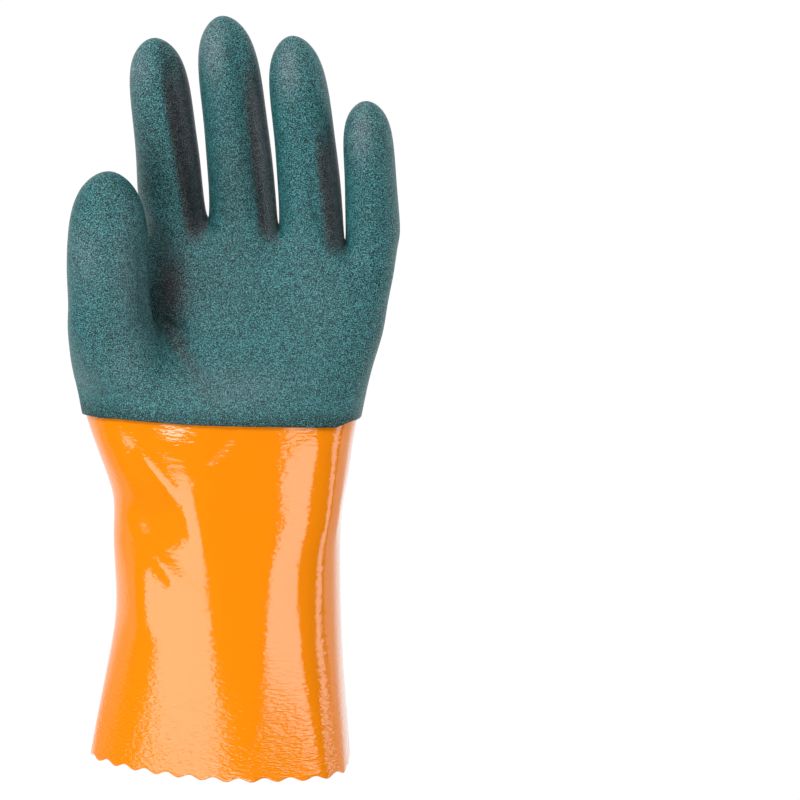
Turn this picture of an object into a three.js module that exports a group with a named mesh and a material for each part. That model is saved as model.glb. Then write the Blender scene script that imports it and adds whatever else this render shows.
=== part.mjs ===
// A dipped industrial work glove for the left hand, lying palm up: a rough-coated hand and a glossy cuff.
// Millimetres. +X points to the little finger, +Y to the fingertips, +Z out of the palm.
// One cage of four-sided faces describes the whole glove. Subdividing it once gives the fine skin, and
// each piece is a wall grown inwards from its own stretch of that skin.
import * as THREE from 'three';

// Driving dimensions

const cuffLength = 140.2; // from the rim to the edge of the hand coating
const cuffWidth = 106; // across the open rim
const cuffDepth = 71; // height of the open rim
const cuffWall = 1.4;
const palmLength = 77.5; // from the edge of the hand coating to the root of the middle finger
const palmWidth = 104; // across the knuckles
const palmDepth = 54; // thickness of the heel of the hand
const handWall = 2;
const fingerLength = 86.6; // middle finger, from its root to its tip
const fingerWidth = 26.4; // middle finger, at its root
const fingerRise = 18.5; // degrees that a finger rises from the floor at its root
const fingerCurl = 3; // degrees more at its tip
const thumbLength = 78;
const thumbWidth = 32.2;
const thumbRise = 24;
const thumbCurl = -18;
const lapLength = 9.4; // how far the hand coating laps over the cuff
const lapWall = 0.8; // thickness of the coating's lip
const lapGap = 0.3; // between the lip and the cuff
const coatingSlant = 0.025; // the coating's edge climbs by this share of x towards the thumb
const taperLength = 6; // stretch over which the lip grows to the full wall
const tuckLength = 30; // stretch over which the cuff draws in to pass under the lip
const scallopPitch = 10; // along the rim
const scallopDepth = 1.8;

// Sections of the cuff, from its rim to the coating's edge: y as a share of cuffLength, x values of
// cuffWidth, z values of cuffDepth. A section is four quarter superellipses between its leftmost, top,
// rightmost and bottom points, and the columns that start with n are their exponents. slant is a share
// of coatingSlant. The first section lies beyond the rim and only steers the skin there.
const sectionColumns = [
  'y', 'left', 'right', 'topX', 'top', 'bottom', 'leftZ', 'rightZ',
  'nTopLeft', 'nTopRight', 'nBottom', 'slant', 'spread', 'cup',
];
const cuffSections = [
  [-0.11, -0.590, 0.455, 0.12, 1.000, -0.020, 0.52, 0.51, 1.7, 4.4, 2.3, 0.0, 0.0, 0.0],
  [0.00, -0.561, 0.443, 0.11, 0.995, -0.020, 0.51, 0.51, 1.7, 4.2, 2.3, 0.0, 0.0, 0.0],
  [0.13, -0.528, 0.431, 0.09, 0.980, -0.020, 0.50, 0.50, 1.7, 3.8, 2.3, 0.0, 0.0, 0.0],
  [0.27, -0.490, 0.418, 0.06, 0.955, -0.020, 0.48, 0.49, 1.8, 3.4, 2.3, 0.0, 0.0, 0.0],
  [0.42, -0.456, 0.410, 0.03, 0.922, -0.020, 0.46, 0.48, 1.9, 3.0, 2.3, 0.0, 0.0, 0.0],
  [0.55, -0.456, 0.407, 0.01, 0.894, -0.017, 0.44, 0.46, 1.9, 3.0, 2.3, 0.0, 0.0, 0.0],
  [0.66, -0.461, 0.409, 0.00, 0.873, -0.004, 0.42, 0.45, 1.9, 3.0, 2.3, 0.0, 0.0, 0.0],
  [0.76, -0.461, 0.422, -0.01, 0.852, 0.014, 0.41, 0.43, 1.9, 3.0, 2.3, 0.4, 0.0, 0.0],
  [0.85, -0.501, 0.445, -0.02, 0.838, 0.028, 0.39, 0.42, 2.0, 2.9, 2.3, 0.8, 0.1, 0.0],
  [0.93, -0.549, 0.466, -0.03, 0.817, 0.035, 0.38, 0.41, 2.0, 2.8, 2.3, 1.0, 0.3, 0.0],
  [1.00, -0.580, 0.488, -0.05, 0.789, 0.042, 0.37, 0.39, 2.0, 2.7, 2.3, 1.0, 0.7, 0.0],
];

// Sections of the hand, from the end of the lap to the knuckles: y as a share of the stretch from there
// to the middle finger's root, x values of palmWidth, z values of palmDepth. spread shifts the ring's
// points away from the thumb's side, and cup is how far the middle of the palm sinks. The thumb leaves
// the hand between the first section and the third.
const handSections = [
  [0.00, -0.606, 0.516, -0.09, 1.000, 0.055, 0.50, 0.50, 2.0, 2.5, 2.3, 1.0, 1.5, 0.01],
  [0.18, -0.588, 0.545, -0.04, 0.890, 0.050, 0.44, 0.46, 2.2, 2.4, 2.3, 1.2, 1.9, 0.03],
  [0.38, -0.430, 0.581, 0.10, 0.790, 0.020, 0.29, 0.41, 1.6, 2.4, 2.3, 2.0, 1.0, 0.04],
  [0.57, -0.390, 0.600, 0.12, 0.710, -0.010, 0.31, 0.36, 2.0, 2.4, 2.4, 3.0, 0.6, 0.04],
  [0.77, -0.366, 0.622, 0.14, 0.640, -0.030, 0.31, 0.33, 2.3, 2.5, 2.5, 4.2, 0.45, 0.02],
];

// Fingers: the middle of the root as shares of palmWidth, palmLength and palmDepth; length and width as
// shares of fingerLength and fingerWidth; depth as a share of the finger's own width; lean, how far the
// tip lies to the left, as a share of its length.
const fingerColumns = ['x', 'y', 'z', 'length', 'width', 'depth', 'lean'];
const fingers = [
  [-0.230, 1.01, 0.35, 0.885, 0.985, 0.98, 0.055],
  [0.044, 1.00, 0.35, 1.000, 1.010, 0.98, 0.070],
  [0.306, 0.94, 0.34, 0.963, 0.965, 1.00, 0.080],
  [0.543, 0.85, 0.33, 0.735, 0.830, 1.04, 0.044],
];
const thumb = [-0.461, 0.32, 0.63, 1.0, 1.0, 0.86, -0.04]; // the same columns, of the thumb's own sizes

// Rings along a digit: place as a share of its length; width, and shift to the right, as shares of its
// width.
const ringColumns = ['place', 'width', 'shift'];
const fingerRings = [
  [0.12, 1.00, 0.0],
  [0.31, 0.97, 0.0],
  [0.50, 0.935, 0.0],
  [0.69, 0.91, 0.0],
  [0.84, 0.80, 0.0],
  [0.94, 0.53, 0.0],
];
const thumbRings = [
  [0.14, 1.12, 0.05],
  [0.29, 1.01, 0.01],
  [0.46, 1.00, 0.0],
  [0.64, 0.975, 0.0],
  [0.80, 0.87, 0.0],
  [0.92, 0.60, 0.0],
];

// Dents and swells of the soft wall: the middle as shares of cuffWidth and cuffLength, radii along x and
// y as shares of the same, and depth as a share of cuffDepth. Minus stands proud.
const dentColumns = ['x', 'y', 'radiusX', 'radiusY', 'depth'];
const dents = [
  [-0.30, 0.71, 0.13, 0.10, 0.045],
  [-0.10, 0.82, 0.20, 0.09, -0.018],
  [0.10, 0.70, 0.16, 0.12, 0.012],
  [-0.19, 1.18, 0.08, 0.09, 0.045],
];

// A row of a table as an object with the columns' names.
const named = (columns, row) => Object.fromEntries(columns.map((name, i) => [name, row[i]]));
const radians = THREE.MathUtils.degToRad;
const { lerp, smoothstep } = THREE.MathUtils;

// The cage

// Points round a section: 0 at the left, then over the top to the right, then back underneath. They are as
// many as the knuckles have, where each finger adds two on top and two below.
const sectionPointCount = 4 * fingers.length + 4;
const spreadBelow = 0.4; // the most that the points of the back are shifted
const spreadDegrees = 200; // scales the shift, which is greatest a quarter of the way round
const cage = { points: [], faces: [] };

function addPoint(x, y, z) {
  cage.points.push(new THREE.Vector3(x, y, z));
  return cage.points.length - 1;
}

// Degrees from the leftmost point over the top, or under the bottom, to the column of a ring.
function columnAngle(column, spread) {
  const half = sectionPointCount / 2;
  const share = (column <= half ? column : sectionPointCount - column) / half;
  const shift = spreadDegrees * share * (1 - share) ** 3;
  return 180 * share + shift * (column <= half ? spread : Math.min(spread, spreadBelow));
}

function sectionPoint(s, column) {
  const angle = columnAngle(column, s.spread);
  const isLeft = angle < 90;
  const isTop = column <= sectionPointCount / 2;
  const side = isLeft ? s.left : s.right;
  const sideZ = isLeft ? s.leftZ : s.rightZ;
  const power = 2 / (isTop ? (isLeft ? s.nTopLeft : s.nTopRight) : s.nBottom);
  const across = Math.abs(Math.cos(radians(angle))) ** power;
  const upwards = Math.sin(radians(angle)) ** power;
  const middle = isTop ? s.topX : (s.left + s.right) / 2;
  const end = isTop ? s.top : s.bottom;
  const sink = isTop ? s.cup * Math.sin(radians(angle)) ** 4 : 0;
  return [middle + (side - middle) * across, sideZ + (end - sideZ) * upwards - sink];
}

function sectionRing(row, width, depth, y) {
  const section = named(sectionColumns, row);
  return Array.from({ length: sectionPointCount }, (_, column) => {
    const [x, z] = sectionPoint(section, column);
    return addPoint(x * width, y - coatingSlant * section.slant * x * width, z * depth);
  });
}

function band(ringA, ringB, zone, skip = () => false) {
  ringA.forEach((_, i) => {
    const next = (i + 1) % ringA.length;
    if (!skip(i)) cage.faces.push({ corners: [ringA[i], ringA[next], ringB[next], ringB[i]], zone });
  });
}

// The points round a digit, each at its angle from +X, with the digit's axis through centre.
function digitRing(centre, direction, halfWidth, halfDepth, angles) {
  const across = new THREE.Vector3().crossVectors(direction, new THREE.Vector3(0, 0, 1)).normalize();
  const up = new THREE.Vector3().crossVectors(across, direction);
  return angles.map((angle) => {
    const p = centre.clone();
    p.addScaledVector(across, halfWidth * Math.cos(radians(angle)));
    p.addScaledVector(up, halfDepth * Math.sin(radians(angle)));
    return addPoint(p.x, p.y, p.z);
  });
}

const leanPower = 1.6; // a digit leans more and more towards its tip

// A digit grows from rootRing, whose points have the given angles, and is closed by four faces.
function digit(d, length, width, rise, curl, rings, rootRing, angles) {
  const along = (share) => {
    const pitch = radians(rise + (curl * share) / 2);
    const reach = length * share;
    const lean = d.lean * length * share ** leanPower;
    return new THREE.Vector3(d.x - lean, d.y + reach * Math.cos(pitch), d.z + reach * Math.sin(pitch));
  };
  const step = 0.01;
  let previous = rootRing;
  for (const ring of rings) {
    const { place, width: share, shift } = named(ringColumns, ring);
    const direction = along(place + step).sub(along(place - step)).normalize();
    const halfWidth = (width * share) / 2;
    const centre = along(place).add(new THREE.Vector3(shift * width, 0, 0));
    const next = digitRing(centre, direction, halfWidth, halfWidth * d.depth, angles);
    band(previous, next, 'hand');
    previous = next;
  }
  const end = along(1);
  const tip = addPoint(end.x, end.y, end.z);
  for (let i = 0; i < previous.length; i += 2) {
    const corners = [tip, previous[i], previous[i + 1], previous[(i + 2) % previous.length]];
    cage.faces.push({ corners, zone: 'hand' });
  }
}

// Sections of the body. The first lies beyond the rim and only steers the skin there.
const cuffRings = cuffSections.map((row) => sectionRing(row, cuffWidth, cuffDepth, row[0] * cuffLength));
const lapEnd = cuffLength + lapLength;
const handRings = handSections.map((row) => {
  return sectionRing(row, palmWidth, palmDepth, lapEnd + row[0] * (palmLength - lapLength));
});

// The roots of the fingers share their corners at the forks.
const roots = fingers.map((row) => {
  const f = named(fingerColumns, row);
  return {
    ...f,
    x: f.x * palmWidth,
    y: cuffLength + f.y * palmLength,
    z: f.z * palmDepth,
    length: f.length * fingerLength,
    width: f.width * fingerWidth,
  };
});
const rootAngles = [180, 135, 90, 45, 0, -45, -90, -135];
const forkCorner = 0.75; // how far a fork's corners reach up, as a share of the fingers' half depth
const forkSlope = 5; // how far a fork's upper corner lies before its middle
const forkBackSlope = 2.5; // the same of its lower corner
const rootTaper = 0.9; // the outer sides of the first and last finger draw in where they meet the palm
const rootSwell = 1.1; // the finger pads stand proud at the root
function rootPoint(f, angle) {
  const half = f.width / 2;
  const across = rootTaper * half * Math.cos(radians(angle));
  const up = half * f.depth * Math.sin(radians(angle));
  return addPoint(f.x + across, f.y, f.z + up * (up > 0 ? rootSwell : 1));
}
const forks = roots.slice(1).map((right, i) => {
  const left = roots[i];
  const x = (left.x + left.width / 2 + right.x - right.width / 2) / 2;
  const y = (left.y + right.y) / 2;
  const z = (left.z + right.z) / 2;
  const half = ((left.width * left.depth + right.width * right.depth) / 4) * forkCorner;
  const top = addPoint(x, y - forkSlope, z + half);
  return { top, middle: addPoint(x, y, z), bottom: addPoint(x, y - forkBackSlope, z - half) };
});
const fingerRoots = roots.map((f, i) => {
  const own = (angle) => rootPoint(f, angle);
  const left = forks[i - 1];
  const right = forks[i];
  return [
    left ? left.middle : own(180),
    left ? left.top : own(135),
    own(90),
    right ? right.top : own(45),
    right ? right.middle : own(0),
    right ? right.bottom : own(-45),
    own(-90),
    left ? left.bottom : own(-135),
  ];
});

// Over the knuckles from the left, then back under them from the right.
const [index, middle, ring, little] = fingerRoots;
const knuckles = [
  ...index.slice(0, 3), ...middle.slice(1, 3), ...ring.slice(1, 3), ...little.slice(1, 8),
  ring[6], ring[7], middle[6], middle[7], index[6], index[7],
];
fingerRoots.forEach((root, i) => {
  const f = roots[i];
  digit(f, f.length, f.width, fingerRise, fingerCurl, fingerRings, root, rootAngles);
});

// The body's bands, open where the thumb leaves: two columns wide and two sections long.
const bodyRings = [...cuffRings, ...handRings, knuckles];
const lapRow = cuffRings.length;
bodyRings.slice(1).forEach((ringB, i) => {
  const zone = i === 0 ? 'beyond' : i < lapRow - 1 ? 'cuff' : i < lapRow ? 'lap' : 'hand';
  const isThumb = i === lapRow || i === lapRow + 1;
  band(bodyRings[i], ringB, zone, (column) => isThumb && column < 2);
});

// The thumb: its root ring is the edge of that opening, from the fork round under its outer side.
const [near, half, far] = handRings;
const thumbRoot = [far[1], far[0], half[0], near[0], near[1], near[2], half[2], far[2]];
const thumbAngles = [-75, -120, -165, 150, 105, 60, 15, -30];
const thumbBase = named(fingerColumns, thumb);
thumbBase.x *= palmWidth;
thumbBase.y = cuffLength + thumbBase.y * palmLength;
thumbBase.z *= palmDepth;
digit(thumbBase, thumbLength, thumbWidth, thumbRise, thumbCurl, thumbRings, thumbRoot, thumbAngles);

// Subdivision

const edgeName = (a, b) => `${Math.min(a, b)}-${Math.max(a, b)}`;

// What surrounds each point: how many faces, and the sums of its neighbours and of the far corners.
function surroundings({ points, faces }) {
  const around = points.map(() => ({ count: 0, near: new THREE.Vector3(), far: new THREE.Vector3() }));
  for (const { corners } of faces) {
    corners.forEach((point, i) => {
      around[point].count += 1;
      around[point].near.add(points[corners[(i + 1) % 4]]);
      around[point].far.add(points[corners[(i + 2) % 4]]);
    });
  }
  return around;
}

// Where the smooth skin of a four-sided mesh lies at each of its points.
function onSkin(mesh) {
  return surroundings(mesh).map(({ count, near: sides, far: opposites }, i) => {
    const p = mesh.points[i].clone().multiplyScalar(count ** 2);
    p.addScaledVector(sides, 4).add(opposites);
    return p.divideScalar(count * (count + 5));
  });
}

// One Catmull-Clark step.
function subdivide(mesh) {
  const { points, faces } = mesh;
  const centres = faces.map(({ corners }) => {
    return corners.reduce((sum, i) => sum.add(points[i]), new THREE.Vector3()).divideScalar(4);
  });
  const edges = new Map();
  faces.forEach(({ corners }, face) => {
    corners.forEach((a, i) => {
      const b = corners[(i + 1) % 4];
      const key = edgeName(a, b);
      if (!edges.has(key)) edges.set(key, { ends: [a, b], faces: [], id: points.length + faces.length + edges.size });
      edges.get(key).faces.push(face);
    });
  });
  const moved = surroundings(mesh).map(({ count, near: sides, far: opposites }, i) => {
    const p = points[i].clone().multiplyScalar(4 * count ** 2 - 7 * count);
    return p.addScaledVector(sides, 6).add(opposites).divideScalar(4 * count ** 2);
  });
  const middles = [...edges.values()].map(({ ends, faces: pair }) => {
    const sum = points[ends[0]].clone().add(points[ends[1]]);
    pair.forEach((face) => sum.add(centres[face]));
    return sum.divideScalar(2 + pair.length);
  });
  const finer = faces.flatMap(({ corners, zone }, face) => {
    return corners.map((point, i) => {
      const after = edges.get(edgeName(point, corners[(i + 1) % 4])).id;
      const before = edges.get(edgeName(point, corners[(i + 3) % 4])).id;
      return { corners: [point, after, points.length + face, before], zone };
    });
  });
  return { points: [...moved, ...centres, ...middles], faces: finer };
}

// The skin

// The sections say where the skin passes, so the cage is moved until it does. Its first ring stays.
const fitSteps = 5;
const targets = cage.points.map((p) => p.clone());
for (let step = 0; step < fitSteps; step += 1) {
  onSkin(cage).forEach((reached, i) => {
    if (i >= sectionPointCount) cage.points[i].add(targets[i]).sub(reached);
  });
}
const fine = subdivide(cage);
const skin = { points: onSkin(fine), faces: fine.faces.filter(({ zone }) => zone !== 'beyond') };

function skinNormals() {
  const normals = skin.points.map(() => new THREE.Vector3());
  for (const { corners } of skin.faces) {
    const [a, b, c, d] = corners.map((i) => skin.points[i]);
    const normal = new THREE.Vector3().crossVectors(c.clone().sub(a), d.clone().sub(b));
    corners.forEach((i) => normals[i].add(normal));
  }
  return normals.map((normal) => normal.normalize());
}

// Dents on the side that faces up.
const towards = skinNormals();
for (const row of dents) {
  const dent = named(dentColumns, row);
  skin.points.forEach((p, i) => {
    const dx = (p.x / cuffWidth - dent.x) / dent.radiusX;
    const dy = (p.y / cuffLength - dent.y) / dent.radiusY;
    const facing = Math.max(0, towards[i].z);
    p.addScaledVector(towards[i], -dent.depth * cuffDepth * facing * Math.exp(-dx * dx - dy * dy));
  });
}

// The soft wall lies flat where it rests on a surface.
skin.points.forEach((p) => {
  p.z = Math.max(p.z, 0);
});
const normals = skinNormals();

// Solids

const inwards = (i, depth) => skin.points[i].clone().addScaledVector(normals[i], -depth);

// The open edges of a set of faces, as closed rings in the direction in which the faces run round them.
function openRings(faces) {
  const follows = new Map();
  const seen = new Set();
  for (const { corners } of faces) corners.forEach((a, i) => seen.add(`${a}>${corners[(i + 1) % 4]}`));
  for (const { corners } of faces) {
    corners.forEach((a, i) => {
      const b = corners[(i + 1) % 4];
      if (!seen.has(`${b}>${a}`)) follows.set(a, b);
    });
  }
  const rings = [];
  while (follows.size > 0) {
    const start = follows.keys().next().value;
    const ring = [];
    for (let at = start; follows.has(at);) {
      const next = follows.get(at);
      ring.push(at);
      follows.delete(at);
      at = next;
    }
    rings.push(ring);
  }
  return rings.sort((a, b) => skin.points[a[0]].y - skin.points[b[0]].y);
}

// A closed solid under construction: every point has an outer and an inner place in the wall.
function wallBuilder() {
  const positions = [];
  const triangles = [];
  const put = (p) => positions.push(p.x, p.y, p.z) / 3 - 1;
  return {
    positions,
    triangles,
    point: (outer, inner) => ({ outer: put(outer), inner: put(inner) }),
    triangle(a, b, c) {
      triangles.push(a.outer, b.outer, c.outer, c.inner, b.inner, a.inner);
    },
    edge(ring) {
      ring.forEach((a, i) => {
        const b = ring[(i + 1) % ring.length];
        triangles.push(b.outer, a.outer, a.inner, b.outer, a.inner, b.inner);
      });
    },
  };
}

// Adds faces whose wall runs between two depths under the skin. Both depths follow the distance from
// the rim, measured square to the coating's edge.
function addFaces(wall, faces, outerDepth, innerDepth) {
  const used = new Map();
  const at = (i) => {
    const { x, y } = skin.points[i];
    const level = y + coatingSlant * x;
    if (!used.has(i)) used.set(i, wall.point(inwards(i, outerDepth(level)), inwards(i, innerDepth(level))));
    return used.get(i);
  };
  for (const { corners } of faces) {
    const [a, b, c, d] = corners.map(at);
    wall.triangle(a, b, c);
    wall.triangle(a, c, d);
  }
  return at;
}

// Fills the strip between a ring and a finer one that runs beside it from the same start.
function fillBetween(wall, ring, finer) {
  let i = 0;
  for (let j = 0; j < finer.length; j += 1) {
    const a = ring[i % ring.length];
    wall.triangle(a, finer[j], finer[(j + 1) % finer.length]);
    if ((i + 1) / ring.length <= (j + 1) / finer.length) {
      wall.triangle(ring[(i + 1) % ring.length], a, finer[(j + 1) % finer.length]);
      i += 1;
    }
  }
}

function mesh(name, wall, material) {
  const geometry = new THREE.BufferGeometry();
  geometry.setAttribute('position', new THREE.Float32BufferAttribute(wall.positions, 3));
  geometry.setIndex(wall.triangles);
  geometry.computeVertexNormals();
  const result = new THREE.Mesh(geometry, new THREE.MeshStandardMaterial(material));
  result.name = name;
  return result;
}

// The hand coating: a full wall that thins to a lip over the end of the cuff.
function makeHandCoating() {
  const wall = wallBuilder();
  const faces = skin.faces.filter(({ zone }) => zone === 'lap' || zone === 'hand');
  const thickness = (y) => lerp(lapWall, handWall, smoothstep(y, lapEnd, lapEnd + taperLength));
  const at = addFaces(wall, faces, () => 0, thickness);
  const [lip] = openRings(faces);
  wall.edge(lip.map(at));
  return mesh('hand_coating', wall, { color: 0x2f7f78, roughness: 0.75, metalness: 0, side: THREE.DoubleSide });
}

// The cuff: tucked under the lip at its top end, and scalloped round its rim.
function makeCuff() {
  const wall = wallBuilder();
  const tuck = (y) => (lapWall + lapGap) * smoothstep(y, cuffLength - tuckLength, cuffLength);
  const all = skin.faces.filter(({ zone }) => zone === 'cuff' || zone === 'lap');
  const [rim] = openRings(all);
  const faces = all.filter(({ corners }) => !corners.some((i) => rim.includes(i)));
  const at = addFaces(wall, faces, tuck, (y) => tuck(y) + cuffWall);
  const [above, top] = openRings(faces);
  wall.edge(top.map(at));

  const beside = (i) => above.reduce((best, j) => {
    const distance = (k) => skin.points[k].distanceTo(skin.points[i]);
    return distance(j) < distance(best) ? j : best;
  });
  const first = above.indexOf(beside(rim[0]));
  const aligned = [...above.slice(first), ...above.slice(0, first)];

  const outer = new THREE.CatmullRomCurve3(rim.map((i) => skin.points[i]), true);
  const inner = new THREE.CatmullRomCurve3(rim.map((i) => inwards(i, cuffWall)), true);
  const scallops = Math.round(outer.getLength() / scallopPitch);
  const pointsPerScallop = 6;
  const count = scallops * pointsPerScallop;
  const edge = Array.from({ length: count }, (_, i) => {
    const along = outer.getUtoTmapping(i / count);
    const notch = (scallopDepth / 2) * (1 - Math.cos((2 * Math.PI * i) / pointsPerScallop));
    const [a, b] = [outer, inner].map((curve) => curve.getPoint(along).setY(notch));
    a.z = Math.max(a.z, 0);
    return wall.point(a, b);
  });
  fillBetween(wall, aligned.map(at), edge);
  wall.edge(edge);
  return mesh('cuff', wall, { color: 0xff8c00, roughness: 0.25, metalness: 0, side: THREE.DoubleSide });
}

const glove = new THREE.Group();
glove.add(makeHandCoating(), makeCuff());

// The origin is in the middle of the glove's footprint, on the surface that it lies on.
const box = new THREE.Box3().setFromObject(glove);
const middleOfBox = box.getCenter(new THREE.Vector3());
glove.children.forEach((piece) => piece.position.set(-middleOfBox.x, -middleOfBox.y, -box.min.z));

export default glove;
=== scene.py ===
"""A dipped industrial work glove for the left hand, lying palm up.

The hand is coated in rough green vinyl and the cuff is glossy orange. One cage of four-sided faces
describes the whole glove. The hand is its subdivided skin, the cuff is the same skin evaluated as a
grid, and both are then sculpted with folds and creases and given a wall thickness.
Lengths are in millimetres until a mesh is made.
"""

import math

import bpy
import numpy as np
from mathutils import Matrix, Vector


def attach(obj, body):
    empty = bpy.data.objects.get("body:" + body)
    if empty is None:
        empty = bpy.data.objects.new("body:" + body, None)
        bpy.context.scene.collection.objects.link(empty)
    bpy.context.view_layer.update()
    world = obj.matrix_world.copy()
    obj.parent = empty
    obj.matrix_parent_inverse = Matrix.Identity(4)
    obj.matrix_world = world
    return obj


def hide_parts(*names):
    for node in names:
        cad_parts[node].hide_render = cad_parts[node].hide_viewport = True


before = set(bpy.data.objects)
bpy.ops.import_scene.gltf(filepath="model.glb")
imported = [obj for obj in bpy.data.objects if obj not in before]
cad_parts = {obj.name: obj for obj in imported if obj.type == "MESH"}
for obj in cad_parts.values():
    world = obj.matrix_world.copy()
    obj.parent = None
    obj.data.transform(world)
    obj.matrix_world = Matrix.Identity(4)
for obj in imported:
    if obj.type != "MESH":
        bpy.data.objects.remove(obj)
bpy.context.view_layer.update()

MM = 0.001

# Driving sizes of the glove

CUFF_LENGTH = 140.2  # from the rim to the edge of the hand coating
CUFF_WIDTH = 106  # across the open rim
CUFF_DEPTH = 71  # height of the open rim
CUFF_WALL = 1.4
PALM_LENGTH = 77.5  # from the edge of the hand coating to the root of the middle finger
PALM_WIDTH = 104  # across the knuckles
PALM_DEPTH = 54  # thickness of the heel of the hand
HAND_WALL = 2.0
FINGER_LENGTH = 86.6  # middle finger, from its root to its tip
FINGER_WIDTH = 26.4  # middle finger, at its root
FINGER_RISE = 18.5  # degrees that a finger rises from the floor at its root
FINGER_CURL = 3  # degrees more at its tip
THUMB_LENGTH = 78
THUMB_WIDTH = 32.2
THUMB_RISE = 24
THUMB_CURL = -18
LAP_LENGTH = 9.4  # how far the hand coating laps over the cuff
LAP_WALL = 0.8  # thickness of the coating's lip
TAPER_LENGTH = 6  # stretch over which the lip grows to the full wall
TUCK_DEPTH = 1.4  # how deep the end of the cuff lies under the skin
TUCK_LENGTH = 30  # stretch over which the cuff draws in to pass under the lip
COATING_SLANT = 0.025  # the coating's edge climbs by this share of x towards the thumb
SCALLOP_PITCH = 10  # along the rim
SCALLOP_DEPTH = 1.8

# Sections of the cuff, from its rim to the coating's edge: y as a share of CUFF_LENGTH, x values of
# CUFF_WIDTH, z values of CUFF_DEPTH. A section is four quarter superellipses between its leftmost, top,
# rightmost and bottom points, and the columns that start with n are their exponents. slant is a share
# of COATING_SLANT. The first section lies beyond the rim and only steers the skin there.
SECTION_COLUMNS = (
    "y", "left", "right", "top_x", "top", "bottom", "left_z", "right_z",
    "n_top_left", "n_top_right", "n_bottom", "slant", "spread", "cup",
)
CUFF_SECTIONS = (
    (-0.11, -0.590, 0.455, 0.12, 1.000, -0.020, 0.52, 0.51, 1.7, 4.4, 2.3, 0.0, 0.0, 0.0),
    (0.00, -0.561, 0.443, 0.11, 0.995, -0.020, 0.51, 0.51, 1.7, 4.2, 2.3, 0.0, 0.0, 0.0),
    (0.13, -0.528, 0.431, 0.09, 0.980, -0.020, 0.50, 0.50, 1.7, 3.8, 2.3, 0.0, 0.0, 0.0),
    (0.27, -0.490, 0.418, 0.06, 0.955, -0.020, 0.48, 0.49, 1.8, 3.4, 2.3, 0.0, 0.0, 0.0),
    (0.42, -0.456, 0.410, 0.03, 0.922, -0.020, 0.46, 0.48, 1.9, 3.0, 2.3, 0.0, 0.0, 0.0),
    (0.55, -0.456, 0.407, 0.01, 0.894, -0.017, 0.44, 0.46, 1.9, 3.0, 2.3, 0.0, 0.0, 0.0),
    (0.66, -0.461, 0.409, 0.00, 0.873, -0.004, 0.42, 0.45, 1.9, 3.0, 2.3, 0.0, 0.0, 0.0),
    (0.76, -0.461, 0.422, -0.01, 0.852, 0.014, 0.41, 0.43, 1.9, 3.0, 2.3, 0.4, 0.0, 0.0),
    (0.85, -0.501, 0.445, -0.02, 0.838, 0.028, 0.39, 0.42, 2.0, 2.9, 2.3, 0.8, 0.1, 0.0),
    (0.93, -0.549, 0.466, -0.03, 0.817, 0.035, 0.38, 0.41, 2.0, 2.8, 2.3, 1.0, 0.3, 0.0),
    (1.00, -0.580, 0.488, -0.05, 0.789, 0.042, 0.37, 0.39, 2.0, 2.7, 2.3, 1.0, 0.7, 0.0),
)

# Sections of the hand, from the end of the lap to the knuckles: y as a share of the stretch from there
# to the middle finger's root, x values of PALM_WIDTH, z values of PALM_DEPTH. spread shifts the ring's
# points away from the thumb's side, and cup is how far the middle of the palm sinks. The thumb leaves
# the hand between the first section and the third.
HAND_SECTIONS = (
    (0.00, -0.606, 0.516, -0.09, 1.000, 0.055, 0.50, 0.50, 2.0, 2.5, 2.3, 1.0, 1.5, 0.01),
    (0.18, -0.588, 0.545, -0.04, 0.890, 0.050, 0.44, 0.46, 2.2, 2.4, 2.3, 1.2, 1.9, 0.03),
    (0.38, -0.430, 0.581, 0.10, 0.790, 0.020, 0.29, 0.41, 1.6, 2.4, 2.3, 2.0, 1.0, 0.04),
    (0.57, -0.390, 0.600, 0.12, 0.710, -0.010, 0.31, 0.36, 2.0, 2.4, 2.4, 3.0, 0.6, 0.04),
    (0.77, -0.366, 0.622, 0.14, 0.640, -0.030, 0.31, 0.33, 2.3, 2.5, 2.5, 4.2, 0.45, 0.02),
)

# Digits: the middle of the root as shares of PALM_WIDTH, PALM_LENGTH and PALM_DEPTH; length and width as
# shares of the digit's own named sizes; depth as a share of its width; lean, how far the tip lies to the
# left, as a share of the length.
DIGIT_COLUMNS = ("x", "y", "z", "length", "width", "depth", "lean")
FINGERS = (
    (-0.230, 1.01, 0.35, 0.885, 0.985, 0.98, 0.055),
    (0.044, 1.00, 0.35, 1.000, 1.010, 0.98, 0.070),
    (0.306, 0.94, 0.34, 0.963, 0.965, 1.00, 0.080),
    (0.543, 0.85, 0.33, 0.735, 0.830, 1.04, 0.044),
)
THUMB = (-0.461, 0.32, 0.63, 1.0, 1.0, 0.86, -0.04)

# Rings along a digit: place as a share of its length; width, and shift to the right, as shares of its
# width.
FINGER_RINGS = (
    (0.12, 1.00, 0.0), (0.31, 0.97, 0.0), (0.50, 0.935, 0.0),
    (0.69, 0.91, 0.0), (0.84, 0.80, 0.0), (0.94, 0.53, 0.0),
)
THUMB_RINGS = (
    (0.14, 1.12, 0.05), (0.29, 1.01, 0.01), (0.46, 1.00, 0.0),
    (0.64, 0.975, 0.0), (0.80, 0.87, 0.0), (0.92, 0.60, 0.0),
)
FINGER_ANGLES = (180, 135, 90, 45, 0, -45, -90, -135)
THUMB_ANGLES = (-75, -120, -165, 150, 105, 60, 15, -30)

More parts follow.
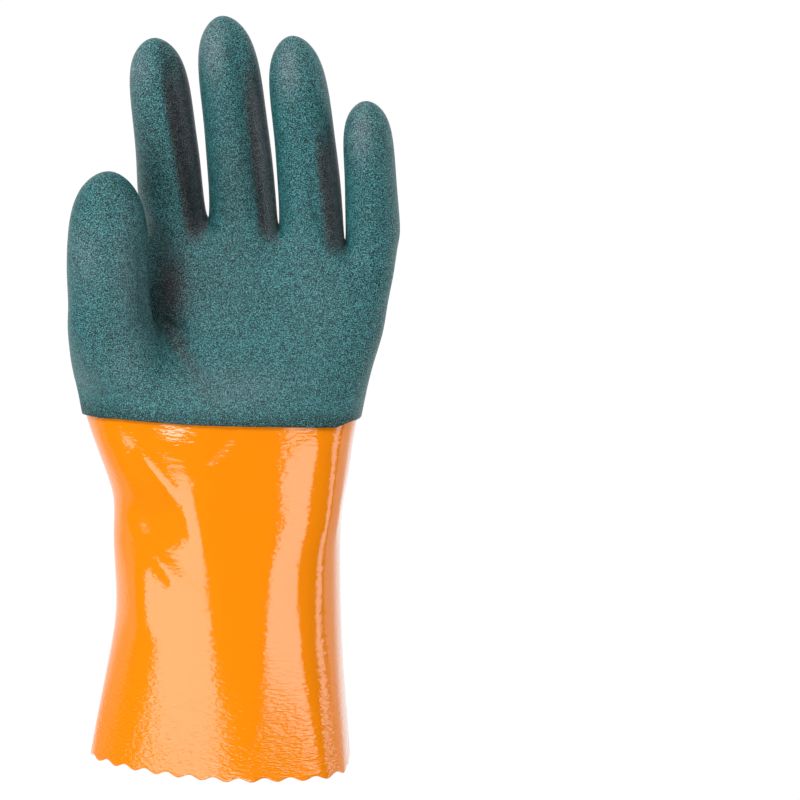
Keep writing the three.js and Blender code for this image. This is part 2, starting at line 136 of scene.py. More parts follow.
RING_SIZE = 20  # points round a section: 0 at the left, 5 on top, 10 at the right, 15 below
SPREAD_BELOW = 0.4  # the most that the points of the back are shifted
SPREAD_DEGREES = 200  # scales the shift, which is greatest a quarter of the way round
LEAN_POWER = 1.6  # a digit leans more and more towards its tip
PLACE_STEP = 0.01  # either side of a ring's place, for the digit's direction there
FORK_CORNER = 0.75  # how far a fork's corners reach up, as a share of the fingers' half depth
FORK_SLOPE = 5  # how far a fork's upper corner lies before its middle
FORK_BACK_SLOPE = 2.5  # the same of its lower corner
ROOT_SWELL = 1.1  # the finger pads stand proud at the root
ROOT_TAPER = 0.9  # the outer sides of the first and last finger draw in where they meet the palm
LAP_END = CUFF_LENGTH + LAP_LENGTH
FIT_STEPS = 5  # rounds of moving the cage until its skin passes through the sections
BEYOND, CUFF, LAP, HAND = range(4)  # the zones of the faces


# The cage


class Cage:
    def __init__(self):
        self.points = []
        self.quads = []
        self.zones = []

    def add(self, x, y, z):
        self.points.append((x, y, z))
        return len(self.points) - 1

    def band(self, ring_a, ring_b, zone, skip=()):
        for i in range(len(ring_a)):
            if i not in skip:
                after = (i + 1) % len(ring_a)
                self.quads.append((ring_a[i], ring_a[after], ring_b[after], ring_b[i]))
                self.zones.append(zone)


def cosine(angle):
    return math.cos(math.radians(angle))


def sine(angle):
    return math.sin(math.radians(angle))


def column_angle(column, spread):
    """Degrees from the leftmost point over the top, or under the bottom, to a column of a ring."""
    half = RING_SIZE / 2
    share = (column if column <= half else RING_SIZE - column) / half
    shift = SPREAD_DEGREES * share * (1 - share) ** 3
    return 180 * share + shift * (spread if column <= half else min(spread, SPREAD_BELOW))


def section_ring(cage, row, width, depth, y):
    s = dict(zip(SECTION_COLUMNS, row))
    ring = []
    for column in range(RING_SIZE):
        angle = column_angle(column, s["spread"])
        side = "left" if angle < 90 else "right"
        is_top = column <= RING_SIZE / 2
        power = 2 / (s["n_top_" + side] if is_top else s["n_bottom"])
        across = abs(cosine(angle)) ** power
        upwards = sine(angle) ** power if 0 < angle < 180 else 0
        middle = s["top_x"] if is_top else (s["left"] + s["right"]) / 2
        end = s["top"] if is_top else s["bottom"]
        sink = s["cup"] * sine(angle) ** 4 if is_top else 0
        x = (middle + (s[side] - middle) * across) * width
        z = (s[side + "_z"] + (end - s[side + "_z"]) * upwards - sink) * depth
        ring.append(cage.add(x, y - COATING_SLANT * s["slant"] * x, z))
    return ring


def digit(cage, d, length, width, rise, curl, rings, root, angles):
    """Grows a digit from its root ring, whose points have the given angles, and closes its tip."""

    def along(share):
        pitch = rise + curl * share / 2
        lean = d["lean"] * length * share ** LEAN_POWER
        reach = length * share
        return Vector((d["x"] - lean, d["y"] + reach * cosine(pitch), d["z"] + reach * sine(pitch)))

    previous = root
    for place, share, shift in rings:
        direction = (along(place + PLACE_STEP) - along(place - PLACE_STEP)).normalized()
        across = direction.cross((0, 0, 1)).normalized()
        up = across.cross(direction)
        half = width * share / 2
        centre = along(place) + Vector((shift * width, 0, 0))
        ring = []
        for angle in angles:
            point = centre + across * half * cosine(angle) + up * half * d["depth"] * sine(angle)
            ring.append(cage.add(*point))
        cage.band(previous, ring, HAND)
        previous = ring
    tip = cage.add(*along(1))
    for i in range(0, len(previous), 2):
        cage.quads.append((tip, previous[i], previous[i + 1], previous[(i + 2) % len(previous)]))
        cage.zones.append(HAND)


def sized_digit(row, length, width):
    d = dict(zip(DIGIT_COLUMNS, row))
    d["x"] *= PALM_WIDTH
    d["y"] = CUFF_LENGTH + d["y"] * PALM_LENGTH
    d["z"] *= PALM_DEPTH
    d["length"] *= length
    d["width"] *= width
    return d


def finger_roots(cage, fingers):
    """The root ring of each finger. Neighbours share the points of the fork between them."""
    forks = []
    for left, right in zip(fingers, fingers[1:]):
        x = (left["x"] + left["width"] / 2 + right["x"] - right["width"] / 2) / 2
        y = (left["y"] + right["y"]) / 2
        z = (left["z"] + right["z"]) / 2
        half = (left["width"] * left["depth"] + right["width"] * right["depth"]) / 4 * FORK_CORNER
        top = cage.add(x, y - FORK_SLOPE, z + half)
        forks.append((top, cage.add(x, y, z), cage.add(x, y - FORK_BACK_SLOPE, z - half)))
    roots = []
    for i, f in enumerate(fingers):
        def own(angle):
            up = f["width"] / 2 * f["depth"] * sine(angle)
            return cage.add(
                f["x"] + ROOT_TAPER * f["width"] / 2 * cosine(angle), f["y"],
                f["z"] + up * (ROOT_SWELL if up > 0 else 1),
            )

        left = forks[i - 1] if i > 0 else (own(135), own(180), own(-135))
        right = forks[i] if i < len(forks) else (own(45), own(0), own(-45))
        roots.append([left[1], left[0], own(90), right[0], right[1], right[2], own(-90), left[2]])
    return roots


def make_cage():
    """Returns the cage's points, quads and zones, and the rings of its sections."""
    cage = Cage()
    rings = [section_ring(cage, r, CUFF_WIDTH, CUFF_DEPTH, r[0] * CUFF_LENGTH) for r in CUFF_SECTIONS]
    for row in HAND_SECTIONS:
        y = LAP_END + row[0] * (PALM_LENGTH - LAP_LENGTH)
        rings.append(section_ring(cage, row, PALM_WIDTH, PALM_DEPTH, y))
    near, half, far = rings[len(CUFF_SECTIONS):len(CUFF_SECTIONS) + 3]

    fingers = [sized_digit(row, FINGER_LENGTH, FINGER_WIDTH) for row in FINGERS]
    roots = finger_roots(cage, fingers)
    for f, root in zip(fingers, roots):
        digit(cage, f, f["length"], f["width"], FINGER_RISE, FINGER_CURL, FINGER_RINGS, root, FINGER_ANGLES)
    index, middle, ring, little = roots
    knuckles = index[0:3] + middle[1:3] + ring[1:3] + little[1:8] + ring[6:8] + middle[6:8] + index[6:8]

    thumb = sized_digit(THUMB, THUMB_LENGTH, THUMB_WIDTH)
    thumb_root = [far[1], far[0], half[0], near[0], near[1], near[2], half[2], far[2]]
    digit(
        cage, thumb, thumb["length"], thumb["width"], THUMB_RISE, THUMB_CURL, THUMB_RINGS,
        thumb_root, THUMB_ANGLES,
    )

    lap_row = len(CUFF_SECTIONS)
    for i, (ring_a, ring_b) in enumerate(zip(rings, rings[1:] + [knuckles])):
        zone = BEYOND if i == 0 else CUFF if i < lap_row - 1 else LAP if i < lap_row else HAND
        cage.band(ring_a, ring_b, zone, skip=(0, 1) if i in (lap_row, lap_row + 1) else ())
    return np.array(cage.points), np.array(cage.quads), np.array(cage.zones), rings


# Subdivision


def surroundings(points, quads):
    """For each point: how many faces meet there, and the sums of its neighbours and of far corners."""
    count = np.bincount(quads.ravel(), minlength=len(points)).astype(float)[:, None]
    near = np.zeros_like(points)
    far = np.zeros_like(points)
    for i in range(4):
        np.add.at(near, quads[:, i], points[quads[:, (i + 1) % 4]])
        np.add.at(far, quads[:, i], points[quads[:, (i + 2) % 4]])
    return count, near, far


def on_skin(points, quads):
    """Where the smooth skin of the mesh lies at each of its points. Unused points stay."""
    count, near, far = surroundings(points, quads)
    skin = (count ** 2 * points + 4 * near + far) / np.maximum(count * (count + 5), 1)
    return np.where(count > 0, skin, points)


def subdivide(points, quads):
    """One Catmull-Clark step. Each face's four parts stay together, in the order of the faces."""
    count, near, far = surroundings(points, quads)
    moved = ((4 * count ** 2 - 7 * count) * points + 6 * near + far) / np.maximum(4 * count ** 2, 1)
    centres = points[quads].mean(axis=1)
    ends = np.sort(np.stack([quads, np.roll(quads, -1, axis=1)], axis=-1).reshape(-1, 2), axis=1)
    edges, edge_of = np.unique(ends, axis=0, return_inverse=True)
    edge_of = edge_of.reshape(-1)
    total = points[edges[:, 0]] + points[edges[:, 1]]
    uses = np.full((len(edges), 1), 2.0)
    np.add.at(total, edge_of, np.repeat(centres, 4, axis=0))
    np.add.at(uses, edge_of, 1.0)
    after = len(points) + len(quads) + edge_of.reshape(-1, 4)
    before = np.roll(after, 1, axis=1)
    centre = np.repeat((len(points) + np.arange(len(quads)))[:, None], 4, axis=1)
    finer = np.stack([quads, after, centre, before], axis=-1).reshape(-1, 4)
    return np.concatenate([moved, centres, total / uses]), finer


def fit(points, quads):
    """Moves the cage until its skin passes through the sections as they are written.

    The first section, which lies beyond the rim, stays.
    """
    targets = points.copy()
    for _ in range(FIT_STEPS):
        shift = targets - on_skin(points, quads)
        shift[:RING_SIZE] = 0
        points = points + shift
    return points


def unit(vectors):
    return vectors / np.maximum(np.linalg.norm(vectors, axis=-1, keepdims=True), 1e-9)


def normals_of(points, quads):
    a, b, c, d = (points[quads[:, i]] for i in range(4))
    face = np.cross(c - a, d - b)
    total = np.zeros_like(points)
    for i in range(4):
        np.add.at(total, quads[:, i], face)
    return unit(total)


# Folds, creases, and painted shade and sheen


def smoothstep(value, low, high):
    t = np.clip((value - low) / (high - low), 0, 1)
    return t * t * (3 - 2 * t)


def bump(x, y, centre, radius, turn=0):
    """A smooth hill of height 1 with the given radii, turned by so many degrees."""
    dx = x - centre[0]
    dy = y - centre[1]
    along = dx * cosine(turn) + dy * sine(turn)
    across = dy * cosine(turn) - dx * sine(turn)
    return np.exp(-(along / radius[0]) ** 2 - (across / radius[1]) ** 2)


def line_places(x, y, x0, y0, x1, y1):
    """Where points lie from a line: the share of its length along it, and millimetres to one side."""
    length = math.hypot(x1 - x0, y1 - y0)
    along = ((x - x0) * (x1 - x0) + (y - y0) * (y1 - y0)) / length ** 2
    beside = ((x - x0) * (y0 - y1) + (y - y0) * (x1 - x0)) / length
    return along, beside


def ridge(x, y, ends, width):
    """A smooth ridge of height 1 along a line, which fades out at its ends."""
    along, beside = line_places(x, y, *ends)
    height = np.exp(-(beside / width) ** 2)
    return height * smoothstep(along, -0.15, 0.25) * smoothstep(-along, -1.15, -0.75)


# Dents and swells that the solid has too: the middle and radii as shares of CUFF_WIDTH and CUFF_LENGTH,
# depth as a share of CUFF_DEPTH. Minus stands proud.
DENTS = (
    (-0.30, 0.71, 0.13, 0.10, 0.045),
    (-0.10, 0.82, 0.20, 0.09, -0.018),
    (0.10, 0.70, 0.16, 0.12, 0.012),
    (-0.19, 1.18, 0.08, 0.09, 0.045),
)

# Folds and creases of the side that faces up: x and y of the two ends, width and height
FRONT_FOLDS = (
    # On the cuff
    (-36, 131, -20, 112, 3.5, 1.0),
    (-18, 114, -9, 88, 5.0, 0.65),
    (-8, 127, 4, 141, 2.8, -0.45),
    (38, 142, 37, 92, 10.0, 1.9),
    (33, 100, 31, 45, 6.0, 0.5),
    (-37, 90, -36, 55, 6.0, 0.9),
    (-44, 100, -15, 74, 4.0, 0.9),
    (-66, 147, -10, 145, 10.0, -3.0),
    (22, 140, 7, 0, 8.0, 0.6),
    # Along the right sides of the fingers
    (-23, 290, -12, 214, 3.2, -1.2),
    (4, 296, 14, 212, 3.2, -1.2),
    (30, 252, 39, 206, 3.2, -1.0),
    # Beside the thumb, and from there to the heel of the hand
    (-30, 214, -29, 176, 6.0, -2.2),
    (-26, 177, -5, 149, 4.0, -1.7),
)
# Swells and dents of that side: x, y, the two radii, the turn in degrees and the height
FRONT_HILLS = (
    (3, 62, 25, 55, 0, 2.2),
    (-4, 0, 26, 28, 0, 2.2),
    (-38, 97, 9, 10, 0, -1.0),
)
# Folds of the side that lies down
BACK_FOLDS = (
    (-28, 8, -20, 60, 5.0, -2.0),
)

# Painted shade on the right sides of the fingers, where the next finger would block the light, and a
# painted
# grey reflection near their edges: the ends of the line where the shade begins, how far past that line the
# painted reflection starts, and how pale its grey is
PAINTED_SIDE_SHADE = (
    (-26.5, 292, -18, 213, 5.0, 0.18),
    (5.5, 286, 11.5, 213, 2.5, 0.36),
    (33, 258, 38, 207, 4.0, 0.28),
)
PAINTED_SIDE_SHADE_WIDTH = 16  # the next finger lies beyond it
# Painted shade where the thumb's shadow falls in the hollow of the hand, in the crease from there to the
# heel, in the middle of the palm and on two fingers: x, y, the two radii, the turn in degrees and the
# amount
PAINTED_HOLLOW_SHADE = (
    (-24, 191, 7.5, 18, 0, 0.95),
    (-17, 165, 17, 2.8, -53, 0.60),
    (-8, 190, 20, 20, 0, 0.20),
    (-30, 240, 10, 26, 0, 0.30),
    (2, 236, 11, 30, 0, 0.32),
)
# Painted sheen, a paler grey where light glances off the fingertips, the thumb and the mounds of the palm:
# the same columns
PAINTED_PAD_SHEEN = (
    (-34, 279, 5, 9, 0, 0.30),
    (-5, 287, 5, 12, 0, 0.38),
    (24, 279, 5, 10, 0, 0.36),
    (52, 254, 5, 11, 0, 0.34),
    (-55, 208, 7, 14, 0, 0.18),
    (3, 154, 22, 8, 0, 0.16),
    (-38, 165, 9, 16, 0, 0.10),
    (-38, 200, 6, 24, 0, 0.20),
    (36, 190, 14, 34, 0, 0.06),
)


def painted_shade_and_sheen(points, normals):
    """How much painted shade and painted sheen the coating has at each point, both from 0 to 1."""
    x, y = points[:, 0], points[:, 1]
    palm_side = normals[:, 2] > 0
    painted_shade = np.zeros(len(points))
    painted_sheen = np.zeros(len(points))
    # Painted shade on finger sides that face right, and a painted grey reflection near their edges.
    for *ends, core, grey in PAINTED_SIDE_SHADE:
        along, beyond = line_places(x, y, *ends)
        side = smoothstep(beyond, -1.5, 2) * (beyond < PAINTED_SIDE_SHADE_WIDTH)
        side *= smoothstep(normals[:, 0], -0.15, 0.1)
        side *= smoothstep(along, -0.1, 0.35) * smoothstep(-along, -1.1, -0.95)
        painted_shade += side
        painted_sheen += grey * side * smoothstep(beyond, core - 1, core + 2)
    # Painted shade in the hollows and the crease, and painted sheen on the pads and mounds, on the side
    # that faces up.
    for cx, cy, rx, ry, turn, full in PAINTED_HOLLOW_SHADE:
        painted_shade += full * bump(x, y, (cx, cy), (rx, ry), turn) * palm_side
    for cx, cy, rx, ry, turn, full in PAINTED_PAD_SHEEN:
        painted_sheen += full * bump(x, y, (cx, cy), (rx, ry), turn) * palm_side
    return np.clip(painted_shade, 0, 1), np.clip(painted_sheen, 0, 1)


def sculpt(points, normals):
    """Moves points of the smooth skin in or out along their normals."""
    x, y = points[:, 0], points[:, 1]
    facing = np.clip(normals[:, 2], -1, 1)
    up = smoothstep(facing, 0.0, 0.5)
    down = smoothstep(-facing, 0.1, 0.6)
    height = np.zeros(len(points))
    for cx, cy, rx, ry, depth in DENTS:
        centre = (cx * CUFF_WIDTH, cy * CUFF_LENGTH)
        radius = (rx * CUFF_WIDTH, ry * CUFF_LENGTH)
        height -= depth * CUFF_DEPTH * np.maximum(facing, 0) * bump(x, y, centre, radius)
    for *ends, width, rise in FRONT_FOLDS:
        height += up * rise * ridge(x, y, ends, width)
    for cx, cy, rx, ry, turn, rise in FRONT_HILLS:
        height += up * rise * bump(x, y, (cx, cy), (rx, ry), turn)
    for *ends, width, rise in BACK_FOLDS:
        height += down * rise * ridge(x, y, ends, width)
    moved = points + normals * height[:, None]
    moved[:, 2] = np.where(moved[:, 2] < 0, 0, moved[:, 2])
    return moved


# The skin of this glove


# The uneven edge of the coating: x, and how far it lies beyond its straight line
EDGE_WAVE = (
    (-62, -2.0), (-46, 0.2), (-36, 0.2), (-24, 0.2), (0, 0), (25, 0), (42, -0.8), (48, 1.0), (56, 0.2),
)
NOWHERE = -1000.0  # the place of a corner that isn't in the grid

cage_points, cage_quads, cage_zones, section_rings = make_cage()
cage_points = fit(cage_points, cage_quads)

# Every corner of a face knows its place in the body's grid: its section, and its column.
row_of = {point: row for row, ring in enumerate(section_rings) for point in ring}
column_of = {point: column for ring in section_rings for column, point in enumerate(ring)}


def cage_places():
    places = np.full(cage_quads.shape + (2,), NOWHERE)
    for face, quad in enumerate(cage_quads):
        if cage_zones[face] < HAND:
            for corner, point in enumerate(quad):
                places[face, corner] = row_of[int(point)], column_of[int(point)]
            columns = places[face, :, 1]
            if columns.max() - columns.min() > 1:
                columns[columns == 0] = RING_SIZE
    return places


def subdivided(level):
    """The cage after so many steps, with each face's zone and its corners' places in the grid."""
    points, quads, zones, places = cage_points, cage_quads, cage_zones, cage_places()
    for _ in range(level):
        points, quads = subdivide(points, quads)
        zones = np.repeat(zones, 4)
        after = (places + np.roll(places, -1, axis=1)) / 2
        before = np.roll(after, 1, axis=1)
        centre = np.repeat(places.mean(axis=1)[:, None], 4, axis=1)
        places = np.stack([places, after, centre, before], axis=2).reshape(-1, 4, 2)
    return points, quads, zones, places


GRID_LEVEL = 4  # subdivision steps of the grid
HAND_LEVEL = 3  # and of the hand
PER_COLUMN = 2 ** GRID_LEVEL
RING_POINTS = RING_SIZE * PER_COLUMN


def make_grid():
    """The skin of the cuff and the lap as a regular grid of points and normals, [row, column]."""
    points, quads, zones, places = subdivided(GRID_LEVEL)
    skin = on_skin(points, quads)
    normals = normals_of(skin, quads)
    used = zones < HAND
    corners = quads[used].ravel()
    spots = np.rint(places[used].reshape(-1, 2) * PER_COLUMN).astype(int)
    rows = spots[:, 0].max() + 1
    grid = np.zeros((rows, RING_POINTS, 6))
    grid[spots[:, 0], spots[:, 1] % RING_POINTS] = np.hstack([skin, normals])[corners]
    return grid


grid = make_grid()


def on_grid(row, column):
    """Points and normals of the skin at fractional rows and columns of the sections."""
    last = grid.shape[0] - 1.0001  # a hair before the last row, because that has no next one
    row = np.clip(row * PER_COLUMN, 0, last)
    column = column * PER_COLUMN
    r0 = np.floor(row).astype(int)
    c0 = np.floor(column).astype(int)
    a = (row - r0)[:, None]
    b = (column - c0)[:, None]
    c1 = (c0 + 1) % RING_POINTS
    c0 = c0 % RING_POINTS
    low = grid[r0, c0] * (1 - b) + grid[r0, c1] * b
    high = grid[r0 + 1, c0] * (1 - b) + grid[r0 + 1, c1] * b
    both = low * (1 - a) + high * a
    return both[:, :3], unit(both[:, 3:])


RIM_ROW = 1  # the section at the rim
EDGE_ROW = len(CUFF_SECTIONS) - 1  # and the one at the coating's edge


def edge_wave(x):
    """How far the coating's edge lies beyond its straight line."""
    return np.interp(x, *zip(*EDGE_WAVE))


def edge_row(column):
    """The row of the coating's edge at a column."""
    straight, _ = on_grid(np.full(len(column), float(EDGE_ROW)), column)
    return EDGE_ROW + edge_wave(straight[:, 0]) / LAP_LENGTH


# What takes the glove's own coordinates to those of the frame
CAD_SHIFT = np.array((-1.5048, -149.4160, 0))


def to_mesh(name, points, faces):
    mesh = bpy.data.meshes.new(name)
    mesh.from_pydata(((points + CAD_SHIFT) * MM).tolist(), [], [list(map(int, f)) for f in faces])
    mesh.validate()
    mesh.update()
    obj = bpy.data.objects.new(name, mesh)
    bpy.context.collection.objects.link(obj)
    mesh.shade_smooth()
    return obj


def make_hand():
    """The hand's skin with its wall. The lap is moved so that it ends at the uneven edge."""
    points, quads, zones, places = subdivided(HAND_LEVEL)
    skin = on_skin(points, quads)
    normals = normals_of(skin, quads)
    lap = zones == LAP
    corners = quads[lap].ravel()
    spots = places[lap].reshape(-1, 2)
    start = edge_row(spots[:, 1])
    along = spots[:, 0] - EDGE_ROW
    row = start + (EDGE_ROW + 1 - start) * along
    skin[corners], normals[corners] = on_grid(row, spots[:, 1])

    used, index = np.unique(quads[(zones == HAND) | lap], return_inverse=True)
    quads = index.reshape(-1, 4)
    skin = sculpt(skin[used], normals[used])
    normals = normals_of(skin, quads)
    beyond_lap = skin[:, 1] + COATING_SLANT * skin[:, 0] - LAP_END
    wall = LAP_WALL + (HAND_WALL - LAP_WALL) * smoothstep(beyond_lap, 0, TAPER_LENGTH)
    inner = skin - normals * wall[:, None]
    count = len(skin)
    faces = [tuple(q) for q in quads]
    faces += [tuple(q[::-1] + count) for q in quads]
    edges = [(q[i], q[(i + 1) % 4]) for q in quads for i in range(4)]
    known = set(edges)
    faces += [(b, a, a + count, b + count) for a, b in edges if (b, a) not in known]
    obj = to_mesh("hand_coating_look", np.concatenate([skin, inner]), faces)
    # The painted shade and painted sheen go on every point, for the coating's colour to mix in.
    for name, amount in zip(("painted_shade", "painted_sheen"), painted_shade_and_sheen(skin, normals)):
        layer = obj.data.attributes.new(name, "FLOAT", "POINT")
        layer.data.foreach_set("value", np.concatenate([amount, amount]))
    return obj


SCALLOP_STEPS = 12  # columns of the mesh for each scallop
SCALLOP_REACH = 5  # millimetres in which the scallops fade away from the rim
RIM_LAYERS = 16  # close layers of the mesh next to the rim
RIM_STRETCH = 1.5  # rows that they cover
RIM_CROWDING = 1.3  # above 1 puts more of them at the rim
BODY_LAYERS = 90
ROUNDING = 0.25  # of the cut edge, as a share of the wall


def make_cuff():
    """The cuff's skin as a grid of layers with its wall. Its far end lies under the lap."""
    rim, _ = on_grid(np.full(RING_POINTS, float(RIM_ROW)), np.arange(RING_POINTS) / PER_COLUMN)
    lengths = np.linalg.norm(np.roll(rim, -1, axis=0) - rim, axis=1)
    total = lengths.sum()
    scallops = round(total / SCALLOP_PITCH)
    columns = scallops * SCALLOP_STEPS
    reached = np.concatenate([[0], np.cumsum(lengths)])
    places = np.arange(RING_POINTS + 1) / PER_COLUMN
    column = np.interp(np.arange(columns) / columns * total, reached, places)
    phase = 2 * np.pi * np.arange(columns) / SCALLOP_STEPS
    notch = SCALLOP_DEPTH / 2 * (1 - np.cos(phase))
    row_length = (CUFF_SECTIONS[2][0] - CUFF_SECTIONS[1][0]) * CUFF_LENGTH
    near_rim = np.linspace(0, 1, RIM_LAYERS + 1)[:-1] ** RIM_CROWDING * RIM_STRETCH
    rows = np.concatenate([
        RIM_ROW + near_rim,
        np.linspace(RIM_ROW + RIM_STRETCH, EDGE_ROW + 1, BODY_LAYERS),
    ])
    layers = []
    for r in rows:
        fading = np.exp(-(r - RIM_ROW) * row_length / SCALLOP_REACH)
        layers.append(sculpt(*on_grid(np.full(columns, r) + notch / row_length * fading, column)))
    outer = np.array(layers)
    across = np.roll(outer, -1, axis=1) - np.roll(outer, 1, axis=1)
    along = np.gradient(outer, axis=0)
    towards = unit(np.cross(across, along))
    distance = outer[:, :, 1] + COATING_SLANT * outer[:, :, 0]
    distance -= edge_wave(outer[:, :, 0])
    tuck = TUCK_DEPTH * smoothstep(distance, CUFF_LENGTH - TUCK_LENGTH, CUFF_LENGTH)
    outside = outer - towards * tuck[:, :, None]
    inside = outer - towards * (tuck + CUFF_WALL)[:, :, None]
    outside[0] -= towards[0] * CUFF_WALL * ROUNDING
    inside[0] += towards[0] * CUFF_WALL * ROUNDING
    points = np.concatenate([outside.reshape(-1, 3), inside.reshape(-1, 3)])
    faces = []
    half = len(rows) * columns
    for i in range(len(rows) - 1):
        for j in range(columns):
            k = (j + 1) % columns
            a = i * columns + j
            b = i * columns + k
            c = b + columns
            d = a + columns
            faces.append((a, b, c, d))
            faces.append((d + half, c + half, b + half, a + half))
    last = half - columns
    for j in range(columns):
        k = (j + 1) % columns
        faces.append((k, j, j + half, k + half))
        faces.append((last + j, last + k, last + k + half, last + j + half))
    return to_mesh("cuff_look", points, faces)


# Materials


def new_material(name):
    material = bpy.data.materials.new(name)
    material.use_nodes = True
    nodes = material.node_tree.nodes
    nodes.clear()
    output = nodes.new("ShaderNodeOutputMaterial")
    shader = nodes.new("ShaderNodeBsdfPrincipled")
    material.node_tree.links.new(shader.outputs["BSDF"], output.inputs["Surface"])
    return material, nodes, material.node_tree.links, shader


def noise(nodes, links, vector, scale, detail, roughness):
    node = nodes.new("ShaderNodeTexNoise")
    node.inputs["Scale"].default_value = scale
    node.inputs["Detail"].default_value = detail
    node.inputs["Roughness"].default_value = roughness
    links.new(vector, node.inputs["Vector"])
    return node.outputs["Fac"]


def ramp(nodes, links, value, stops):
    node = nodes.new("ShaderNodeValToRGB")
    elements = node.color_ramp.elements
    while len(elements) < len(stops):
        elements.new(0.5)
    for element, (place, colour) in zip(elements, stops):
        element.position = place
        element.color = (*colour, 1)
    links.new(value, node.inputs["Fac"])
    return node.outputs["Color"]


def weighted_sum(nodes, links, first, second, weight):
    """first + weight * second"""
    node = nodes.new("ShaderNodeMath")
    node.operation = "MULTIPLY_ADD"
    links.new(second, node.inputs[0])
    node.inputs[1].default_value = weight
    links.new(first, node.inputs[2])
    return node.outputs["Value"]


def axis(nodes, links, vector, name):
    node = nodes.new("ShaderNodeSeparateXYZ")
    links.new(vector, node.inputs["Vector"])
    return node.outputs[name]


def fade(nodes, links, value, start, end):
    """0 up to start, 1 from end."""
    node = nodes.new("ShaderNodeMapRange")
    links.new(value, node.inputs["Value"])
    node.inputs["From Min"].default_value = start
    node.inputs["From Max"].default_value = end
    return node.outputs["Result"]


def bump_node(nodes, links, height, distance, strength, normal=None):
    node = nodes.new("ShaderNodeBump")
    node.inputs["Strength"].default_value = strength
    node.inputs["Distance"].default_value = distance
    links.new(height, node.inputs["Height"])
    if normal is not None:
        links.new(normal, node.inputs["Normal"])
    return node.outputs["Normal"]


def coating_material():
    material, nodes, links, shader = new_material("rough vinyl coating")
    coordinates = nodes.new("ShaderNodeTexCoord").outputs["Object"]
    grains = noise(nodes, links, coordinates, scale=2300, detail=1, roughness=0.6)
    patches = noise(nodes, links, coordinates, scale=420, detail=2, roughness=0.5)
    tone = weighted_sum(nodes, links, grains, patches, 0.12)
    # It is darker in the first millimetres above its edge.
    across_edge = nodes.new("ShaderNodeVectorMath")
    across_edge.operation = "DOT_PRODUCT"
    links.new(coordinates, across_edge.inputs[0])
    across_edge.inputs[1].default_value = (COATING_SLANT, 1, 0)
    edge = CUFF_LENGTH + CAD_SHIFT[1] + COATING_SLANT * CAD_SHIFT[0]
    near_edge = fade(
        nodes, links, across_edge.outputs["Value"], start=(edge + 6) * MM, end=(edge + 1) * MM,
    )
    tone = weighted_sum(nodes, links, tone, near_edge, -0.07)
    colour = ramp(nodes, links, tone, (
        (0.40, (0.001, 0.005, 0.005)),
        (0.51, (0.003, 0.045, 0.046)),
        (0.58, (0.007, 0.128, 0.135)),
        (0.68, (0.085, 0.335, 0.360)),
    ))
    # The colours of the painted shade and of the painted sheen, mixed in by the amounts on the points.
    painted_shade_colour = ramp(nodes, links, tone, (
        (0.40, (0.001, 0.001, 0.001)),
        (0.51, (0.006, 0.009, 0.010)),
        (0.58, (0.020, 0.028, 0.031)),
        (0.68, (0.110, 0.130, 0.140)),
    ))
    painted_sheen_colour = ramp(nodes, links, tone, (
        (0.40, (0.060, 0.080, 0.090)),
        (0.60, (0.330, 0.380, 0.420)),
    ))
    for name, other in (("painted_shade", painted_shade_colour), ("painted_sheen", painted_sheen_colour)):
        amount = nodes.new("ShaderNodeAttribute")
        amount.attribute_name = name
        mix = nodes.new("ShaderNodeMix")
        mix.data_type = "RGBA"
        links.new(amount.outputs["Fac"], mix.inputs["Factor"])
        links.new(colour, mix.inputs["A"])
        links.new(other, mix.inputs["B"])
        colour = mix.outputs["Result"]
    links.new(colour, shader.inputs["Base Color"])
    shader.inputs["Roughness"].default_value = 0.42
    shader.inputs["Specular IOR Level"].default_value = 0.45
    normal = bump_node(nodes, links, grains, distance=0.0004, strength=0.9)
    links.new(normal, shader.inputs["Normal"])
    return material


def cuff_material():
    material, nodes, links, shader = new_material("glossy vinyl")
    coordinates = nodes.new("ShaderNodeTexCoord").outputs["Object"]
    shader.inputs["Base Color"].default_value = (1.0, 0.268, 0.0, 1)
    shader.inputs["Roughness"].default_value = 0.10
    shader.inputs["IOR"].default_value = 1.5
    shader.inputs["Coat Weight"].default_value = 0.6
    shader.inputs["Coat Roughness"].default_value = 0.04
    shader.inputs["Coat IOR"].default_value = 1.5
    stretched = nodes.new("ShaderNodeMapping")
    stretched.inputs["Scale"].default_value = (300, 800, 300)
    links.new(coordinates, stretched.inputs["Vector"])
    peel = noise(nodes, links, stretched.outputs["Vector"], scale=1, detail=2, roughness=0.5)
    normal = bump_node(nodes, links, peel, distance=0.0003, strength=0.5)
    # Ripples come in over the 60 mm before the rim.
    ripples = noise(nodes, links, stretched.outputs["Vector"], scale=1.3, detail=2, roughness=0.5)
    near_rim = fade(nodes, links, axis(nodes, links, coordinates, "Y"), start=-0.090, end=-0.140)
    rippled = nodes.new("ShaderNodeMath")
    rippled.operation = "MULTIPLY"
    links.new(ripples, rippled.inputs[0])
    links.new(near_rim, rippled.inputs[1])
    normal = bump_node(
        nodes, links, rippled.outputs["Value"], distance=0.0005, strength=0.8, normal=normal,
    )
    links.new(normal, shader.inputs["Normal"])
    links.new(normal, shader.inputs["Coat Normal"])
    return material


coating = make_hand()
cuff = make_cuff()
coating.data.materials.append(coating_material())
cuff.data.materials.append(cuff_material())
for piece, name in ((coating, "hand_coating"), (cuff, "cuff")):
    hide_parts(name)
    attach(piece, "root")


# Floor, lights and camera


FLOOR_GAP = 0.0005  # metres between the floor and the glove


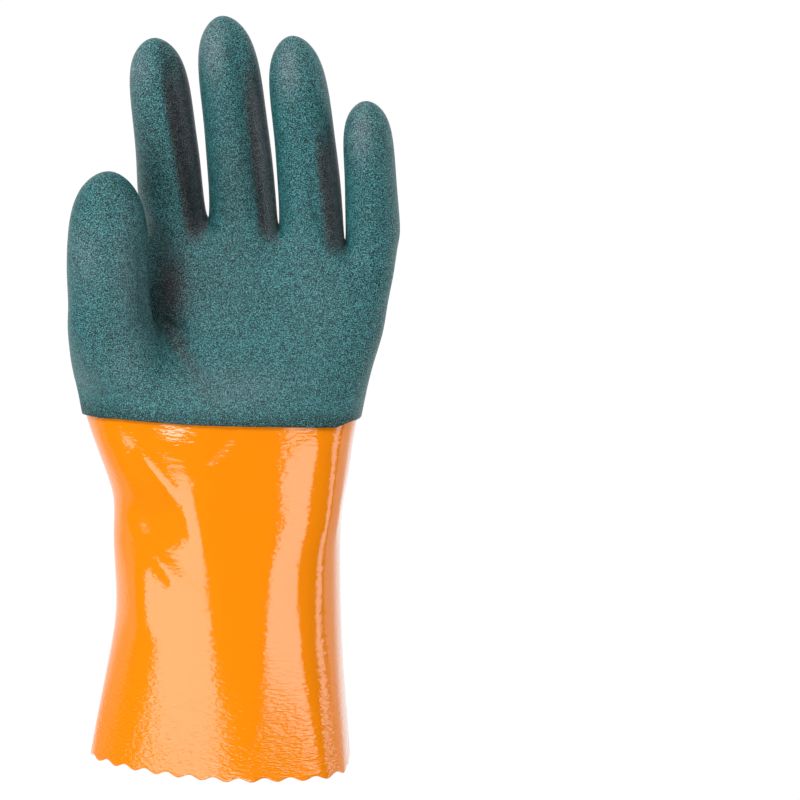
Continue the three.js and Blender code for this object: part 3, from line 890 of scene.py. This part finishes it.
def make_floor():
    bpy.ops.mesh.primitive_plane_add(size=6, location=(0, 0, -FLOOR_GAP))
    floor = bpy.context.object
    floor.name = "floor"
    material, nodes, links, shader = new_material("glowing white floor")
    shader.inputs["Base Color"].default_value = (0, 0, 0, 1)
    shader.inputs["Roughness"].default_value = 1.0
    shader.inputs["Specular IOR Level"].default_value = 0
    # It glows instead of being lit, so it shows no shadow of the glove and lights the glove from below. The
    # glow fades to pale grey away from the glove's left side, which keeps that side from a white glare.
    coordinates = nodes.new("ShaderNodeTexCoord").outputs["Object"]
    lit = fade(nodes, links, axis(nodes, links, coordinates, "X"), start=-0.18, end=-0.11)
    glow = ramp(nodes, links, lit, (
        (0, (0.40, 0.40, 0.40)),
        (1, (1, 1, 1)),
    ))
    links.new(glow, shader.inputs["Emission Color"])
    shader.inputs["Emission Strength"].default_value = 1.02
    floor.data.materials.append(material)


SOFTBOX_DISTANCE = 1.2  # in metres, as everything from here on
LIT_POINT = Vector((0, 0, 0.03))  # what every softbox is aimed at


def softbox(name, tilt, spread, turn, length, radiance):
    """A rectangular light, tilt degrees from overhead to the right and turn degrees towards the fingers.

    spread is how many degrees of tilt it covers to each side, length its other side in metres.
    """
    light = bpy.data.lights.new(name, "AREA")
    light.shape = "RECTANGLE"
    light.size = 2 * SOFTBOX_DISTANCE * math.tan(math.radians(spread))
    light.size_y = length
    light.energy = radiance * light.size * light.size_y * math.pi
    obj = bpy.data.objects.new(name, light)
    bpy.context.collection.objects.link(obj)
    away = Vector((sine(tilt) * cosine(turn), sine(turn), cosine(tilt) * cosine(turn)))
    across = Vector((cosine(tilt), 0, -sine(tilt)))
    turned = Matrix((across, away.cross(across), away)).transposed()
    obj.matrix_world = Matrix.Translation(LIT_POINT + away * SOFTBOX_DISTANCE) @ turned.to_4x4()


make_floor()
softbox("left softbox", tilt=-45, spread=18, turn=-13.5, length=1.09, radiance=2.8)
softbox("far key", tilt=-24, spread=14, turn=50, length=0.6, radiance=8.0)
softbox("near key", tilt=-24, spread=12, turn=-52, length=0.5, radiance=5.5)
softbox("right strip", tilt=25, spread=10, turn=3, length=0.9, radiance=3.1)
softbox("low right softbox", tilt=79, spread=5, turn=8, length=2.0, radiance=2.6)

world = bpy.data.worlds.new("studio")
bpy.context.scene.world = world
world.use_nodes = True
background = world.node_tree.nodes["Background"]
background.inputs["Color"].default_value = (1, 1, 1, 1)
background.inputs["Strength"].default_value = 0.06

# The camera looks down at its target from a metre away. It stands LEAN degrees off the vertical, on
# the fingers' side.
LEAN = 10
camera_data = bpy.data.cameras.new("camera")
camera_data.sensor_width = 36
camera_data.lens = 112
camera = bpy.data.objects.new("camera", camera_data)
bpy.context.collection.objects.link(camera)
target = Vector((0.0658, -0.0033, 0.030))
camera.location = target + Vector((0, sine(LEAN), cosine(LEAN)))
camera.rotation_euler = (math.radians(-LEAN), 0, 0)
bpy.context.scene.camera = camera
bpy.context.scene.view_settings.view_transform = "Standard"
